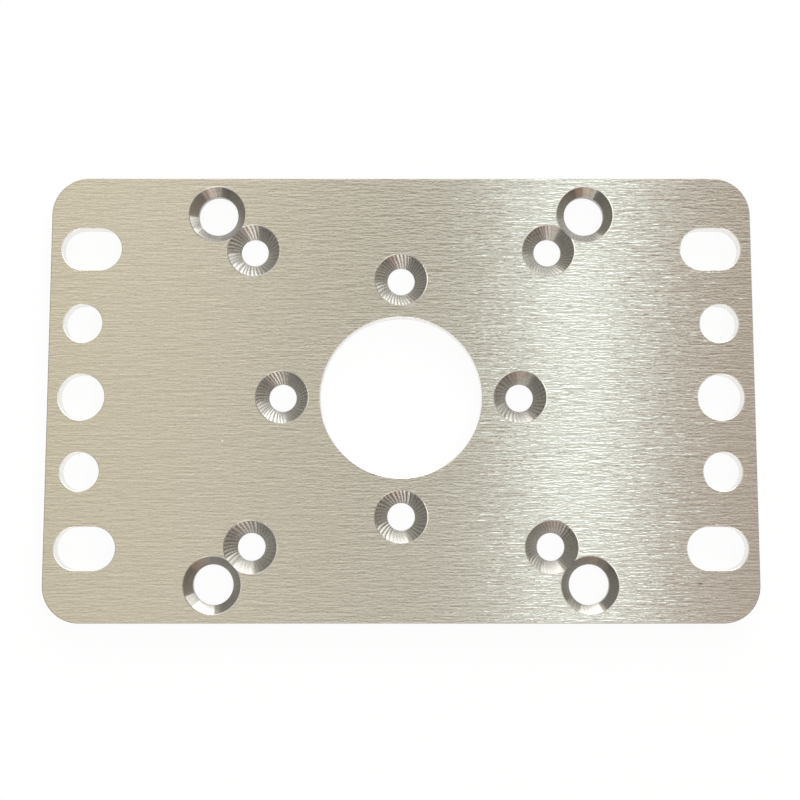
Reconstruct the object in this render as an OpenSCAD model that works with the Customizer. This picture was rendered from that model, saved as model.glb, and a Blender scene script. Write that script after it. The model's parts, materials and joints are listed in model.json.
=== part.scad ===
// Joystick mounting plate: one flat sheet of brushed stainless steel.
// The stick passes through the centre opening, its base is held by countersunk screws in one of
// three hole patterns, and the plate is fixed to its panel through the openings at its two ends.
// X runs along the plate, Y across it. The back face lies on Z = 0 and the countersinks face +Z.

/* [Plate] */
// Thickness of the sheet
plate_t = 2; // [1.8:0.1:5]
// Radius of the plate's corners
corner_r = 5; // [0.5:0.5:9]
// Metal left between a slot and the end of the plate
end_wall = 1.45; // [0.5:0.05:12]
// Metal left between a large countersink and the long edge of the plate
side_wall = 1.2; // [0.3:0.1:12]

/* [Centre opening] */
// Diameter of the opening that the stick passes through
opening_d = 21.7; // [10:0.1:24.5]

/* [Countersunk holes] */
// Included angle of every countersink, in degrees
sink_angle = 90; // [82:1:120]
// Bore of the small holes
small_bore_d = 3.7; // [3.1:0.1:5]
// Diameter of the small countersinks at the front face
small_sink_d = 7; // [5:0.1:7.6]
// Bore of the large holes
large_bore_d = 5.4; // [4:0.1:6.5]
// Diameter of the large countersinks at the front face
large_sink_d = 7.6; // [6.6:0.1:8.5]

/* [Joystick patterns] */
// Diameter of the circle of small holes round the opening
circle_d = 32; // [29.5:0.1:40]
// Side of the square of large holes
large_square = 50; // [45:0.5:70]
// How far the small hole beside each large one is set in from it, along X and along Y
pair_step = 5; // [4.5:0.1:8]

/* [Panel slots] */
// Overall length of a slot, along the plate
slot_l = 8.1; // [6:0.1:12]
// Width of a slot
slot_w = 5.7; // [4:0.1:6]
// Distance between slot centres along the plate
slot_spacing_x = 84; // [80:0.5:120]
// Distance between slot centres across the plate
slot_spacing_y = 40.4; // [36:0.1:48]

/* [Panel holes] */
// Diameter of the hole half way up each end
middle_hole_d = 6.2; // [4:0.1:9]
// Diameter of the holes above and below it
outer_hole_d = 5.2; // [3:0.1:6]
// Distance between the two outer holes of an end
outer_hole_spacing = 20; // [14:0.1:26]

/* [Hidden] */
$fn = 96;

// How far a cutter runs past the faces that it cuts.
clear = 1;

// The outline follows the hole patterns: the slots set its length, the large countersinks its width.
slot_reach = (slot_spacing_x + slot_l) / 2;
plate_l = 2 * (slot_reach + end_wall);
plate_w = large_square + large_sink_d + 2 * side_wall;

// Each large hole keeps a small one beside it, on the diagonal towards the centre.
small_square = large_square - 2 * pair_step;

// The round panel holes share one column, and the middle one ends level with the slots.
panel_hole_spacing = 2 * slot_reach - middle_hole_d;

// A rectangle with round corners, centred on the origin.
module rounded_rectangle(length, width, radius) {
    square([length - 2 * radius, width], center = true);
    square([length, width - 2 * radius], center = true);
    at_corners(length - 2 * radius, width - 2 * radius) circle(r = radius);
}

// A straight slot with round ends, along X.
module stadium(length, width) {
    square([length - width, width], center = true);
    for (side = [-1, 1]) translate([side * (length - width) / 2, 0]) circle(d = width);
}

// Children repeated at the four corners of a centred rectangle.
module at_corners(spacing_x, spacing_y) {
    for (x = [-1, 1], y = [-1, 1]) translate([x * spacing_x / 2, y * spacing_y / 2]) children();
}

// Children repeated at the two ends of a centred line along X.
module at_ends(spacing) {
    for (x = [-1, 1]) translate([x * spacing / 2, 0]) children();
}

// Children repeated at each quarter turn round a centred circle.
module at_quarters(diameter) {
    for (turn = [0:3]) rotate(90 * turn) translate([diameter / 2, 0]) children();
}

// Cutter for a plain round hole.
module through_hole(diameter) {
    translate([0, 0, -clear]) cylinder(d = diameter, h = plate_t + 2 * clear);
}

// Cutter for a hole with a countersink in the front face.
module countersunk_hole(bore_d, sink_d) {
    slope = tan(sink_angle / 2);
    depth = (sink_d - bore_d) / 2 / slope;
    through_hole(bore_d);
    translate([0, 0, plate_t - depth])
        cylinder(d1 = bore_d, d2 = sink_d + 2 * clear * slope, h = depth + clear);
}

// Cutter for one panel slot.
module slot_hole() {
    translate([0, 0, -clear]) linear_extrude(plate_t + 2 * clear) stadium(slot_l, slot_w);
}

// Every hole that the stick and its base use.
module joystick_holes() {
    through_hole(opening_d);
    at_quarters(circle_d) countersunk_hole(small_bore_d, small_sink_d);
    at_corners(small_square, small_square) countersunk_hole(small_bore_d, small_sink_d);
    at_corners(large_square, large_square) countersunk_hole(large_bore_d, large_sink_d);
}

// Every opening that fixes the plate to its panel.
module panel_holes() {
    at_corners(slot_spacing_x, slot_spacing_y) slot_hole();
    at_corners(panel_hole_spacing, outer_hole_spacing) through_hole(outer_hole_d);
    at_ends(panel_hole_spacing) through_hole(middle_hole_d);
}

// The whole plate.
module mounting_plate() {
    color([0.77, 0.74, 0.67]) difference() {
        linear_extrude(plate_t) rounded_rectangle(plate_l, plate_w, corner_r);
        joystick_holes();
        panel_holes();
    }
}

mounting_plate();
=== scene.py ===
import json
import math
import random
from collections import namedtuple

import bmesh
import bpy
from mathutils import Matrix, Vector, noise


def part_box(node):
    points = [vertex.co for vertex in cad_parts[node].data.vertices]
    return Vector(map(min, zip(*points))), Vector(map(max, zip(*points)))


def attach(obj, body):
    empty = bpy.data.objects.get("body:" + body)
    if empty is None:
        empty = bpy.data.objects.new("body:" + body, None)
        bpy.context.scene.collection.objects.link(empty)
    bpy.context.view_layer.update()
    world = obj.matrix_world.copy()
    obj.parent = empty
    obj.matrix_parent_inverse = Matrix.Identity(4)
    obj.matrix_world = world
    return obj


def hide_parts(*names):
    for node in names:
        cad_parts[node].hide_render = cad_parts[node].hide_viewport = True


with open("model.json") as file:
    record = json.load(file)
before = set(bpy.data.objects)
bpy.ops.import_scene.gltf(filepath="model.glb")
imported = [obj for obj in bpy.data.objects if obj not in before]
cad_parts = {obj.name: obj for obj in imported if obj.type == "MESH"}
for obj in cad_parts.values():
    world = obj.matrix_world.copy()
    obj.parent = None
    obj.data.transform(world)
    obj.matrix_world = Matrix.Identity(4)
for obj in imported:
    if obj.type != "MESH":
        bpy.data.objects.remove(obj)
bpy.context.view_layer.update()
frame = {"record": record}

MM = 0.001
TURN = 2 * math.pi

# Sizes from the frame: the plate's box, and the hole patterns in its record.
plate_low, plate_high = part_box("mounting_plate")
patterns = {mount["name"]: mount["dims"] for mount in frame["record"]["mounts"]}

# Sizes that the record leaves out.
CORNER_R = 5 * MM
SMALL_RIM_R = 3.5 * MM
LARGE_RIM_R = 3.8 * MM

# Finish of the edges: every cut edge is broken, and each countersink has thrown up a low lip round its rim.
EDGE_R = 0.1 * MM
LIP_H = 0.04 * MM
LIP_W = 0.12 * MM
WELD = 0.0002 * MM

# Fineness of the mesh.
EDGE_STEPS = 4
CORNER_STEPS = 24
HOLE_STEPS = 32
LIP_STEPS = 2
CONE_STEPS = 12
RIDGE_POINTS = 31
FLUTED_SPOKES = 320
PLAIN_SPOKES = 160

# Marks of the cutter in the countersinks: flutes run up the cone, and leave the rim a little wavy.
FLUTE_COUNT = (32, 44)
FLUTE_H = 0.02 * MM
FLUTE_SWIRL = 0.3
FLUTE_STRENGTH = (0.35, 1)
FLUTE_WEAKEST = 0.12
FLUTE_DRIFT = 2.5
FLUTE_PHASE = (0, 50)
FLUTE_SEED = 2340
LARGE_STRENGTH = 0.1
RIM_WAVE = 0.04 * MM

# The flutes fade over a share of the cone at its rim and at its bore, and over a length next to a ridge.
# The rim's waves fade over a share of the way round, next to a ridge.
END_FADE = 0.1
RIDGE_FADE = 0.3 * MM
WAVE_FADE = 1 / 8

# Brush lines in the face's colour, shine and tilt: longest, widest, and a shift that sets each apart.
COLOUR_LINES = (5 * MM, 0.4 * MM, 3)
SHINE_LINES = (4.2 * MM, 0.36 * MM, 27)
TILT_LINES = (5 * MM, 0.38 * MM, 57)

# How many times shorter and finer each set of brush lines is than the longest and widest.
LINE_SETS = ((8, 1.7), (3, 1.3), (1, 1))
LINE_STRENGTH = 0.35
LINE_TILT = 0.38

# How far apart two neighbouring rows of brush lines lie in the noise that they are drawn from.
ROW_STEP = 7.37

# The sheet's flat face lies one lip height below the top of the box.
top = plate_high.z
face_z = top - LIP_H

# Marks on the front face, in millimetres: middle, half length, half width and colour.
BLEMISHES = (
    ((-23.9, -5.9), 0.17, 0.14, (1.0, 0.97, 0.88, 1)),
    ((39.5, -24.8), 0.50, 0.20, (0.34, 0.29, 0.25, 1)),
    ((33.0, -24.6), 0.11, 0.24, (0.25, 0.24, 0.21, 1)),
)

# The cut walls of the openings carry painted light, and the plate's outer edge painted shade.
FACE, LIP, FLUTED, TURNED, DRILLED, CUT_PAINTED_LIGHT, OUTER_PAINTED_SHADE = range(7)
Sink = namedtuple("Sink", "centre bore_r rim_r finish spokes flutes strength phase ridge")


def size(pattern, name):
    """One size of a hole pattern in the record, in metres."""
    return patterns[pattern][name] * MM


def corners(pattern):
    """The four centres of a rectangular hole pattern."""
    half_x = size(pattern, "spacing_x_mm") / 2
    half_y = size(pattern, "spacing_y_mm") / 2
    return [Vector((x * half_x, y * half_y)) for x in (-1, 1) for y in (-1, 1)]


def ends(pattern):
    """The two centres of a hole pattern along X."""
    half = size(pattern, "spacing_x_mm") / 2
    return [Vector((x * half, 0)) for x in (-1, 1)]


def quarters(pattern):
    """The four centres of a hole pattern on a circle."""
    radius = size(pattern, "pcd_mm") / 2
    return [radius * Vector((math.cos(TURN * i / 4), math.sin(TURN * i / 4))) for i in range(4)]


def rounded_outline(centre, half_x, half_y, radius, grow, steps):
    """Points round a rectangle with round corners.

    Where a half size equals the radius, that end is a half circle.
    """
    points = []
    for quarter in range(4):
        start = TURN * quarter / 4
        middle = start + TURN / 8
        corner_x = centre.x + math.copysign(half_x - radius, math.cos(middle))
        corner_y = centre.y + math.copysign(half_y - radius, math.sin(middle))
        for step in range(steps + 1):
            angle = start + TURN / 4 * step / steps
            reach = radius + grow
            points.append((corner_x + reach * math.cos(angle), corner_y + reach * math.sin(angle)))
    return points


def edge_profile(upper_z, lower_z, side):
    """Steps (grow, height) down a cut edge with broken corners.

    Side is 1 in an opening and -1 on the outside.
    """
    turns = [TURN / 4 * step / EDGE_STEPS for step in range(EDGE_STEPS + 1)]
    upper = [(EDGE_R * (1 - math.sin(t)), upper_z - EDGE_R * (1 - math.cos(t))) for t in turns]
    lower = [(EDGE_R * (1 - math.sin(t)), lower_z + EDGE_R * (1 - math.cos(t))) for t in reversed(turns)]
    return [(side * grow, z) for grow, z in upper + lower]


def add_skin(bm, rings, material):
    """Smooth faces between rings of points that lie one inside or below the other."""
    rows = [[bm.verts.new(point) for point in ring] for ring in rings]
    for outer, inner in zip(rows, rows[1:]):
        for here in range(len(outer)):
            skin = bm.faces.new((outer[here], outer[here - 1], inner[here - 1], inner[here]))
            skin.material_index = material
            skin.smooth = True
    return rows


def add_cut_edge(bm, centre, half_x, half_y, radius, side, steps):
    """The wall of one plain opening, or of the plate's outline."""
    rings = []
    for grow, z in edge_profile(face_z, plate_low.z, side):
        outline = rounded_outline(centre, half_x, half_y, radius, grow, steps)
        rings.append([(x, y, z) for x, y in outline])
    # Opening walls take the cut steel painted light, and the outline the cut steel painted dark as a painted
    # shade.
    add_skin(bm, rings, CUT_PAINTED_LIGHT if side > 0 else OUTER_PAINTED_SHADE)


def sink_height(beyond):
    """Height of a countersink's surface at a distance beyond its rim: the cone inside it, the lip outside."""
    if beyond < 0:
        return top + beyond
    return face_z + LIP_H * (1 - beyond / LIP_W)


def ridge_between(large, large_r, small, small_r):
    """Points of the ridge between two countersinks that overlap, from one end to the other.

    Each point lies equally far beyond both rims, so the two surfaces have the same height there.
    """
    along = small - large
    apart = along.length
    along = along.normalized()
    across = Vector((-along.y, along.x))
    lowest = (apart - large_r - small_r) / 2
    points = []
    for step in range(RIDGE_POINTS):
        share = 2 * step / (RIDGE_POINTS - 1) - 1
        beyond = lowest + (LIP_W - lowest) * share ** 2
        reach = large_r + beyond
        ahead = (apart ** 2 + reach ** 2 - (small_r + beyond) ** 2) / (2 * apart)
        aside = math.copysign(math.sqrt(max(0, reach ** 2 - ahead ** 2)), share)
        points.append(large + along * ahead + across * aside)
    return points


def spokes_of(sink):
    """(angle, reach, freedom) of each spoke of a countersink, once round.

    A spoke reaches out to the end of the lip, or to the ridge. Its freedom falls to 0 at the ridge.
    """
    full = sink.rim_r + LIP_W
    if not sink.ridge:
        return [(TURN * i / sink.spokes, full, 1) for i in range(sink.spokes)]
    middle = sink.ridge[len(sink.ridge) // 2] - sink.centre
    towards = math.atan2(middle.y, middle.x)
    meeting = []
    for point in sink.ridge:
        arm = point - sink.centre
        turned = math.atan2(arm.y, arm.x) - towards
        meeting.append((math.atan2(math.sin(turned), math.cos(turned)), arm.length, 0))
    meeting.sort()
    first, last = meeting[0][0], meeting[-1][0]
    span = TURN + first - last
    count = round(sink.spokes * span / TURN)
    spokes = [(towards + angle, reach, freedom) for angle, reach, freedom in meeting]
    for i in range(1, count):
        share = i / count
        freedom = min(1, min(share, 1 - share) / WAVE_FADE)
        spokes.append((towards + last + span * share, full, freedom))
    return spokes


def flute(sink, angle, beyond):
    """Height of the cutter's flutes, between -1 and 1. They come and go round the hole."""
    swirled = angle - FLUTE_SWIRL * beyond / sink.rim_r
    spot = Vector((math.cos(swirled), math.sin(swirled), sink.phase))
    strength = min(1, max(FLUTE_WEAKEST, 0.5 + 1.2 * noise.noise(1.3 * spot)))
    drift = FLUTE_DRIFT * noise.noise(3 * spot)
    wave = sink.flutes * swirled + sink.phase + drift
    return strength * (0.75 * math.sin(wave) + 0.25 * math.sin(2 * wave + 1))


def sink_point(sink, spoke, beyond):
    """One point of a countersink's surface."""
    angle, reach, freedom = spoke
    depth = sink.rim_r - sink.bore_r
    inside = min(beyond, reach - sink.rim_r)
    wave = sink.strength * flute(sink, angle, inside)
    share = -inside / depth
    to_ridge = reach - sink.rim_r - inside
    fade = max(0, min(1, share / END_FADE, (1 - share) / END_FADE, to_ridge / RIDGE_FADE))
    radius = sink.rim_r + inside
    if share < END_FADE:
        radius += RIM_WAVE * wave * freedom
    z = sink_height(inside) + FLUTE_H * wave * fade
    return (sink.centre.x + radius * math.cos(angle), sink.centre.y + radius * math.sin(angle), z)


def add_countersink(bm, across, marks, sink):
    """The lip, cone and bore of one countersunk hole.

    The cone notes how high its flutes are, and which way they run; its material turns these heights into
    painted highlight on the crests and painted shade in the hollows.
    """
    depth = sink.rim_r - sink.bore_r
    lip = [LIP_W * (1 - step / LIP_STEPS) for step in range(LIP_STEPS + 1)]
    cone = [-depth * (step / CONE_STEPS) ** 1.3 for step in range(CONE_STEPS + 1)]
    spokes = spokes_of(sink)
    add_skin(bm, [[sink_point(sink, spoke, beyond) for spoke in spokes] for beyond in lip], LIP)
    turned = [[sink_point(sink, spoke, beyond) for spoke in spokes] for beyond in cone]
    for row, beyond in zip(add_skin(bm, turned, sink.finish), cone):
        for vertex, spoke in zip(row, spokes):
            vertex[across] = Vector((math.cos(spoke[0]), math.sin(spoke[0]), 1)).normalized()
            vertex[marks] = sink.strength * flute(sink, spoke[0], beyond)
    bore = [turned[-1]]
    for grow, z in edge_profile(top - depth, plate_low.z, 1)[EDGE_STEPS + 1:]:
        reach = sink.bore_r + grow
        x, y = sink.centre
        bore.append([(x + reach * math.cos(s[0]), y + reach * math.sin(s[0]), z) for s in spokes])
    add_skin(bm, bore, DRILLED)


def fill_between(bm, z, normal):
    """Flat faces between all the open edges at one height."""
    rim = [e for e in bm.edges if e.is_boundary and all(abs(v.co.z - z) < WELD for v in e.verts)]
    made = bmesh.ops.triangle_fill(bm, use_beauty=True, use_dissolve=False, edges=rim, normal=normal)
    for part in made["geom"]:
        if isinstance(part, bmesh.types.BMFace):
            part.material_index = FACE
            part.smooth = False


def all_sinks():
    """Every countersunk hole. Each large one overlaps the small one beside it."""
    chance = random.Random(FLUTE_SEED)

    def small(centre, ridge):
        flutes = chance.randint(*FLUTE_COUNT)
        bore_r = size("joystick_small_square", "hole_r_mm")
        strength = chance.uniform(*FLUTE_STRENGTH)
        phase = chance.uniform(*FLUTE_PHASE)
        return Sink(centre, bore_r, SMALL_RIM_R, FLUTED, FLUTED_SPOKES, flutes, strength, phase, ridge)

    def large(centre, ridge):
        flutes = chance.randint(*FLUTE_COUNT)
        bore_r = size("joystick_large_square", "hole_r_mm")
        phase = chance.uniform(*FLUTE_PHASE)
        return Sink(centre, bore_r, LARGE_RIM_R, TURNED, PLAIN_SPOKES, flutes, LARGE_STRENGTH, phase, ridge)

    sinks = [small(centre, []) for centre in quarters("joystick_circle")]
    for inner, outer in zip(corners("joystick_small_square"), corners("joystick_large_square")):
        ridge = ridge_between(outer, LARGE_RIM_R, inner, SMALL_RIM_R)
        sinks += [small(inner, ridge), large(outer, ridge)]
    return sinks


def add_plain_openings(bm):
    """The centre opening, the panel slots and the round panel holes."""
    opening_r = size("stick_opening", "r_mm")
    add_cut_edge(bm, Vector((0, 0)), opening_r, opening_r, opening_r, 1, 2 * HOLE_STEPS)
    slot_r = size("panel_slots", "hole_r_mm")
    slot_half = size("panel_slots", "slot_length_mm") / 2
    for centre in corners("panel_slots"):
        add_cut_edge(bm, centre, slot_half, slot_r, slot_r, 1, HOLE_STEPS)
    outer_r = size("panel_outer_holes", "hole_r_mm")
    for centre in corners("panel_outer_holes"):
        add_cut_edge(bm, centre, outer_r, outer_r, outer_r, 1, HOLE_STEPS)
    middle_r = size("panel_middle_holes", "hole_r_mm")
    for centre in ends("panel_middle_holes"):
        add_cut_edge(bm, centre, middle_r, middle_r, middle_r, 1, HOLE_STEPS)


def build_plate():
    """The whole sheet as one closed mesh."""
    bm = bmesh.new()
    across = bm.verts.layers.float_vector.new("across")
    marks = bm.verts.layers.float.new("marks")
    centre = ((plate_low + plate_high) / 2).to_2d()
    half = ((plate_high - plate_low) / 2).to_2d()
    add_cut_edge(bm, centre, half.x, half.y, CORNER_R, -1, CORNER_STEPS)
    add_plain_openings(bm)
    for sink in all_sinks():
        add_countersink(bm, across, marks, sink)
    bmesh.ops.remove_doubles(bm, verts=bm.verts[:], dist=WELD)
    fill_between(bm, face_z, (0, 0, 1))
    fill_between(bm, plate_low.z, (0, 0, -1))
    bmesh.ops.recalc_face_normals(bm, faces=bm.faces[:])
    for edge in bm.edges:
        beside = {f.material_index for f in edge.link_faces}
        if len(beside) == 2 and beside & {FLUTED, TURNED}:
            edge.smooth = False
    mesh = bpy.data.meshes.new("brushed_plate")
    bm.to_mesh(mesh)
    bm.free()
    plate = bpy.data.objects.new("brushed_plate", mesh)
    bpy.context.scene.collection.objects.link(plate)
    finishes = {
        FACE: brushed_steel(),
        LIP: plain_steel("lip_steel", 0.2, colour(0.72, 0.70, 0.64)),
        FLUTED: turned_steel("fluted_steel", 0.24, 0.30),
        TURNED: turned_steel("turned_steel", 0.17, 0.21),
        DRILLED: plain_steel("drilled_steel", 0.35, colour(0.36, 0.34, 0.30)),
        # The openings' walls: cut steel in a near-white colour, a painted light that makes them read as white
        # as the floor seen through the openings.
        CUT_PAINTED_LIGHT: cut_steel("cut_steel", 0.25, colour(0.80, 0.78, 0.74), colour(0.92, 0.91, 0.87)),
        # The outer edge: the same cut steel in a dark colour, a painted shade that draws a dark line round
        # the plate.
        OUTER_PAINTED_SHADE: cut_steel("outer_steel_painted_shade", 0.40, colour(0.36, 0.34, 0.31), colour(0.52, 0.50, 0.46)),
    }
    for index in sorted(finishes):
        mesh.materials.append(finishes[index])
    return plate


def add(tree, kind, inputs=None, **options):
    """A new node. An input given as a socket is linked, and any other is set."""
    made = tree.nodes.new(kind)
    for option, value in options.items():
        setattr(made, option, value)
    for name, value in (inputs or {}).items():
        if isinstance(value, bpy.types.NodeSocket):
            tree.links.new(value, made.inputs[name])
        else:
            made.inputs[name].default_value = value
    return made


def maths(tree, operation, *values):
    """A Math node's result."""
    return add(tree, "ShaderNodeMath", dict(enumerate(values)), operation=operation).outputs[0]


def ranged(tree, value, low, high, to_low, to_high):
    """A value moved smoothly from one range to another, and held inside it."""
    inputs = {"Value": value, "From Min": low, "From Max": high, "To Min": to_low, "To Max": to_high}
    return add(tree, "ShaderNodeMapRange", inputs, interpolation_type="SMOOTHSTEP").outputs[0]


def mixed(tree, share, first, second, blend="MIX"):
    """Two colours mixed."""
    node = add(tree, "ShaderNodeMix", data_type="RGBA", blend_type=blend)
    for name, value in (("Factor_Float", share), ("A_Color", first), ("B_Color", second)):
        socket = next(s for s in node.inputs if s.identifier == name)
        if isinstance(value, bpy.types.NodeSocket):
            tree.links.new(value, socket)
        else:
            socket.default_value = value
    return next(s for s in node.outputs if s.identifier == "Result_Color")


def colour(red, green, blue):
    """A colour in linear light."""
    return (red, green, blue, 1)


def new_material(name, **shader_inputs):
    """A metal material, its node tree and its shader."""
    material = bpy.data.materials.new(name)
    material.use_nodes = True
    tree = material.node_tree
    shader = tree.nodes["Principled BSDF"]
    shader.inputs["Metallic"].default_value = 1
    for input_name, value in shader_inputs.items():
        shader.inputs[input_name].default_value = value
    return material, tree, shader


def place_of(tree):
    """The place on the object."""
    return add(tree, "ShaderNodeTexCoord").outputs["Object"]


def grain(tree, place, length, width, height, shift):
    """Soft noise between 0 and 1, drawn out to these sizes along X, Y and Z."""
    scale = (1 / length, 1 / width, 1 / height)
    spread = add(tree, "ShaderNodeMapping", {"Vector": place, "Location": (shift,) * 3, "Scale": scale})
    inputs = {"Vector": spread.outputs[0], "Scale": 1, "Detail": 1, "Roughness": 0.5}
    return add(tree, "ShaderNodeTexNoise", inputs).outputs["Fac"]


def scratches(tree, place, length, width, shift):
    """Scratches along X, between -0.5 and 0.5.

    Each is a bright burr beside a dark groove, and comes and goes.
    """
    parts = add(tree, "ShaderNodeSeparateXYZ", {0: place})
    along = maths(tree, "DIVIDE", parts.outputs["X"], length)
    across = maths(tree, "DIVIDE", parts.outputs["Y"], width)
    row = maths(tree, "MULTIPLY", maths(tree, "FLOOR", across), ROW_STEP)
    spot = add(tree, "ShaderNodeCombineXYZ", {"X": along, "Y": row, "Z": shift})
    inputs = {"Vector": spot.outputs[0], "Scale": 1, "Detail": 1, "Roughness": 0.5}
    depth = maths(tree, "SUBTRACT", add(tree, "ShaderNodeTexNoise", inputs).outputs["Fac"], 0.5)
    return maths(tree, "MULTIPLY", maths(tree, "SINE", maths(tree, "MULTIPLY", across, TURN)), depth)


def streaks(tree, place, longest, widest, shift):
    """Brush lines along X, about 0.5 in the middle: short fine ones, middling ones and long broad ones."""
    total = 0.5
    for shorter, finer in LINE_SETS:
        line = scratches(tree, place, longest / shorter, widest / finer, shift + shorter)
        total = maths(tree, "MULTIPLY_ADD", line, LINE_STRENGTH, total)
    return total


def tilted(tree, facing, tilt):
    """The direction that a surface faces, leaning a little more one way."""
    leaning = add(tree, "ShaderNodeVectorMath", {0: facing, 1: tilt}, operation="ADD")
    return add(tree, "ShaderNodeVectorMath", {0: leaning.outputs[0]}, operation="NORMALIZE").outputs[0]


def blot(tree, place, centre, half_length, half_width):
    """1 at a small mark on the front face, and 0 away from it."""
    away = add(tree, "ShaderNodeVectorMath", {0: place, 1: (*centre, face_z)}, operation="SUBTRACT")
    shape = (half_length, half_width, 1 * MM)
    scaled = add(tree, "ShaderNodeVectorMath", {0: away.outputs[0], 1: shape}, operation="DIVIDE")
    length = add(tree, "ShaderNodeVectorMath", {0: scaled.outputs[0]}, operation="LENGTH")
    return ranged(tree, length.outputs["Value"], 0.4, 1, 1, 0)


def brushed_steel():
    """The sheet's faces: fine broken lines along X in the colour, the shine and the tilt, and a few marks."""
    material, tree, shader = new_material("brushed_steel", Anisotropic=0.9)
    place = place_of(tree)
    tone = ranged(tree, streaks(tree, place, *COLOUR_LINES), 0.42, 0.58, 0, 1)
    groove = colour(0.518, 0.485, 0.398)
    burr = colour(0.676, 0.642, 0.539)
    base = mixed(tree, tone, groove, burr)
    for centre, half_length, half_width, shade in BLEMISHES:
        mark = blot(tree, place, [MM * value for value in centre], half_length * MM, half_width * MM)
        base = mixed(tree, mark, base, shade)
    tree.links.new(base, shader.inputs["Base Color"])
    shiniest = 0.06
    dullest = 0.46
    dullness = ranged(tree, streaks(tree, place, *SHINE_LINES), 0.42, 0.56, shiniest, dullest)
    tree.links.new(dullness, shader.inputs["Roughness"])
    relief = grain(tree, place, 6 * MM, 0.2 * MM, 1 * MM, 41)
    bump = add(tree, "ShaderNodeBump", {"Strength": 1, "Distance": 0.03 * MM, "Height": relief})
    slope = maths(tree, "SUBTRACT", streaks(tree, place, *TILT_LINES), 0.5)
    tilt = add(tree, "ShaderNodeCombineXYZ", {"X": maths(tree, "MULTIPLY", slope, LINE_TILT)})
    tree.links.new(tilted(tree, bump.outputs[0], tilt.outputs[0]), shader.inputs["Normal"])
    across = add(tree, "ShaderNodeCombineXYZ", {"Y": 1})
    tree.links.new(across.outputs[0], shader.inputs["Tangent"])
    return material


def plain_steel(name, roughness, shade):
    """Metal of one even shade: bright on the lips of the countersinks, and dull in their bores."""
    material, _, shader = new_material(name, Roughness=roughness)
    shader.inputs["Base Color"].default_value = shade
    return material


def turned_steel(name, smoothest, roughest):
    """A countersink's cone: crests that lean to the sky, painted highlight on the crests and painted shade in
    the hollows, and faint rings.
    """
    material, tree, shader = new_material(name, Anisotropic=0.9)
    place = place_of(tree)
    rings = grain(tree, place, 3 * MM, 3 * MM, 0.1 * MM, 5)
    height = add(tree, "ShaderNodeAttribute", attribute_name="marks").outputs["Fac"]
    # Painted highlight and painted shade: the colour runs from dark in the flutes' hollows to light on their
    # crests.
    painted_highlight_share = ranged(tree, height, -0.4, 0.5, 0, 1)
    dull = colour(0.32, 0.307, 0.28)
    bright = colour(0.61, 0.59, 0.54)
    base = mixed(tree, painted_highlight_share, dull, bright)
    tree.links.new(base, shader.inputs["Base Color"])
    tree.links.new(ranged(tree, rings, 0.3, 0.7, smoothest, roughest), shader.inputs["Roughness"])
    across = add(tree, "ShaderNodeAttribute", attribute_name="across")
    tree.links.new(across.outputs["Vector"], shader.inputs["Tangent"])
    most_lean = 0.42
    lean = add(tree, "ShaderNodeCombineXYZ", {"Z": ranged(tree, height, 0, 0.7, 0, most_lean)})
    facing = add(tree, "ShaderNodeNewGeometry").outputs["Normal"]
    tree.links.new(tilted(tree, facing, lean.outputs[0]), shader.inputs["Normal"])
    return material


def cut_steel(name, roughness, darker, brighter):
    """Cut edges: upright lines left by the cutting beam, between two given colours that carry painted light
    in the openings and painted shade on the outline.
    """
    material, tree, shader = new_material(name, Roughness=roughness)
    place = place_of(tree)
    lines = grain(tree, place, 0.15 * MM, 0.15 * MM, 3 * MM, 9)
    base = mixed(tree, lines, darker, brighter)
    tree.links.new(base, shader.inputs["Base Color"])
    bump = add(tree, "ShaderNodeBump", {"Strength": 1, "Distance": 0.01 * MM, "Height": lines})
    tree.links.new(bump.outputs[0], shader.inputs["Normal"])
    return material


def white_floor_material():
    """White where it is seen or mirrored, and still a surface that takes the plate's shadow."""
    material = bpy.data.materials.new("white_floor")
    material.use_nodes = True
    tree = material.node_tree
    tree.nodes.clear()
    light_path = add(tree, "ShaderNodeLightPath")
    seen = maths(tree, "MAXIMUM", light_path.outputs["Is Camera Ray"], light_path.outputs["Is Glossy Ray"])
    seen = maths(tree, "MAXIMUM", seen, light_path.outputs["Is Transmission Ray"])
    glow_strength = 1.02
    glow_share = 0.9
    paper = add(tree, "ShaderNodeBsdfDiffuse", {"Color": colour(0.9, 0.9, 0.9)})
    glow = add(tree, "ShaderNodeEmission", {"Color": colour(1, 1, 1), "Strength": glow_strength})
    share = maths(tree, "MULTIPLY", seen, glow_share)
    both = add(tree, "ShaderNodeMixShader", {0: share, 1: paper.outputs[0], 2: glow.outputs[0]})
    add(tree, "ShaderNodeOutputMaterial", {"Surface": both.outputs[0]})
    return material


def plane(name, corners_at, material):
    """One four-sided stage surface."""
    mesh = bpy.data.meshes.new(name)
    mesh.from_pydata(corners_at, [], [(0, 1, 2, 3)])
    mesh.materials.append(material)
    made = bpy.data.objects.new(name, mesh)
    bpy.context.scene.collection.objects.link(made)
    return made


def card(name, corners_at, shade):
    """A matt card outside the camera's view, for the metal to mirror."""
    material = bpy.data.materials.new(name)
    material.use_nodes = True
    tree = material.node_tree
    tree.nodes.clear()
    paint = add(tree, "ShaderNodeBsdfDiffuse", {"Color": shade})
    add(tree, "ShaderNodeOutputMaterial", {"Surface": paint.outputs[0]})
    plane(name, corners_at, material).visible_camera = False


def standing_card(name, start, end, height, shade):
    """A card that stands on the floor."""
    (x0, y0), (x1, y1) = start, end
    card(name, [(x0, y0, 0), (x1, y1, 0), (x1, y1, height), (x0, y0, height)], shade)


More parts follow.
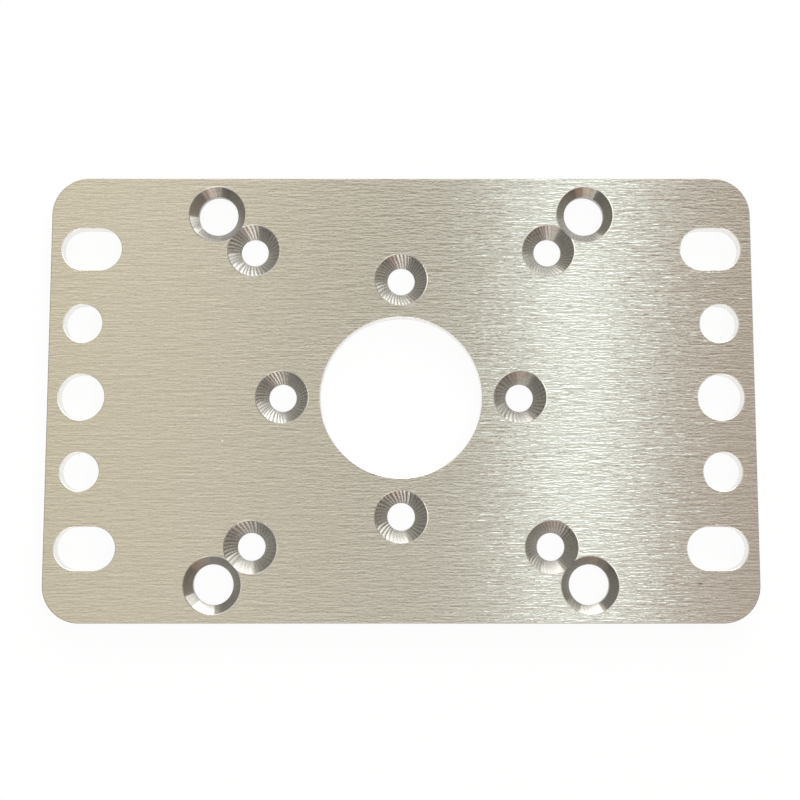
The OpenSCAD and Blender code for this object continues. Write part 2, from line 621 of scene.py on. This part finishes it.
def soft_lamp(name, where, turn, length, width, radiance, tint):
    """A rectangular lamp. Unturned, it hangs level and faces down."""
    lamp = bpy.data.lights.new(name, "AREA")
    lamp.shape = "RECTANGLE"
    lamp.size = length
    lamp.size_y = width
    lamp.energy = radiance * math.pi * length * width
    lamp.color = tint
    made = bpy.data.objects.new(name, lamp)
    made.location = where
    made.rotation_euler = turn
    made.visible_camera = False
    bpy.context.scene.collection.objects.link(made)


def light_world():
    """Soft light from all round: warm on the left, greyer in the middle, bright at the far right.

    On the left and at the far right it grows towards the back, and between them towards the front.
    The camera itself sees plain white.
    """
    world = bpy.data.worlds.new("studio")
    world.use_nodes = True
    bpy.context.scene.world = world
    tree = world.node_tree
    direction = add(tree, "ShaderNodeTexCoord").outputs["Generated"]
    parts = add(tree, "ShaderNodeSeparateXYZ", {0: direction})
    sideways, away = parts.outputs["X"], parts.outputs["Y"]
    far_back = ranged(tree, away, -0.7, 0.9, 0, 1)
    to_back = mixed(tree, far_back, colour(0.74, 0.74, 0.74), colour(1.26, 1.26, 1.26))
    past_front = ranged(tree, away, -0.35, 0.14, 0, 1)
    to_front = mixed(tree, past_front, colour(1.38, 1.40, 1.50), colour(1.0, 1.0, 0.99))
    # Each stop: where its shade starts and is complete, from left to right, the shade, and how it grows.
    stops = (
        (-0.55, -0.33, colour(1.045, 0.988, 0.895), to_back),
        (-0.33, 0.06, colour(0.555, 0.541, 0.527), to_front),
        (0.10, 0.26, colour(0.54, 0.47, 0.45), to_front),
        (0.46, 0.62, colour(1.7, 1.7, 1.66), to_back),
    )
    tint = colour(0.36, 0.36, 0.35)
    for start, end, shade, growth in stops:
        lit = mixed(tree, 1, shade, growth, "MULTIPLY")
        tint = mixed(tree, ranged(tree, sideways, start, end, 0, 1), tint, lit)
    seen = add(tree, "ShaderNodeLightPath").outputs["Is Camera Ray"]
    shown = mixed(tree, seen, tint, colour(1, 1, 1))
    tree.links.new(shown, tree.nodes["Background"].inputs["Color"])


def build_stage():
    """The floor, the lamps over the right half, behind and in front, and the cards round the plate."""
    far = 3.0
    low = plate_low.z - 0.02 * MM
    square = ((-far, -far), (far, -far), (far, far), (-far, far))
    plane("floor", [(x, y, low) for x, y in square], white_floor_material())
    facing_down = (0, 0, 0)
    facing_front = (-TURN / 4, 0, 0)
    facing_back = (TURN / 4, 0, 0)
    # Each lamp: where it hangs, which way it faces, its length, width and brightness, and its tint.
    soft_lamp("strip_lamp", (0.1155, 0.09, 0.6), facing_down, 0.073, 0.5, 1.75, (0.71, 0.875, 1.03))
    soft_lamp("back_lamp", (0.108, 0.5, 0.16), facing_front, 0.53, 0.3, 3.9, (0.97, 0.99, 1.0))
    soft_lamp("front_lamp", (-0.02, -0.3, 0.21), facing_back, 0.24, 0.13, 2.4, (1.0, 0.97, 0.92))
    # Each card: its two ends on the floor, its height and its shade.
    standing_card("left_card", (-0.5, -0.5), (-0.5, 0.35), 0.5, colour(0.28, 0.28, 0.26))
    standing_card("front_left_card", (-0.5, -0.5), (-0.05, -0.5), 0.2, colour(0.22, 0.19, 0.19))
    standing_card("front_right_card", (-0.05, -0.5), (0.38, -0.5), 0.18, colour(0.70, 0.42, 0.28))
    standing_card("right_card", (0.38, -0.5), (0.5, 0.2), 0.4, colour(0.44, 0.39, 0.33))


def place_camera():
    """The photograph's view: from above, tilted a little from the front."""
    lens_mm = 54
    distance = 160.9 * MM
    tilt = math.radians(5.6)
    aim = Vector((-0.15 * MM, -0.4 * MM, top))
    data = bpy.data.cameras.new("camera")
    data.lens = lens_mm
    data.clip_start = 1 * MM
    camera = bpy.data.objects.new("camera", data)
    camera.location = aim + distance * Vector((0, -math.sin(tilt), math.cos(tilt)))
    camera.rotation_euler = (tilt, 0, 0)
    bpy.context.scene.collection.objects.link(camera)
    bpy.context.scene.camera = camera


bpy.context.scene.view_settings.view_transform = "Standard"
plate = build_plate()
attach(plate, "root")
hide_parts("mounting_plate")
build_stage()
light_world()
place_camera()
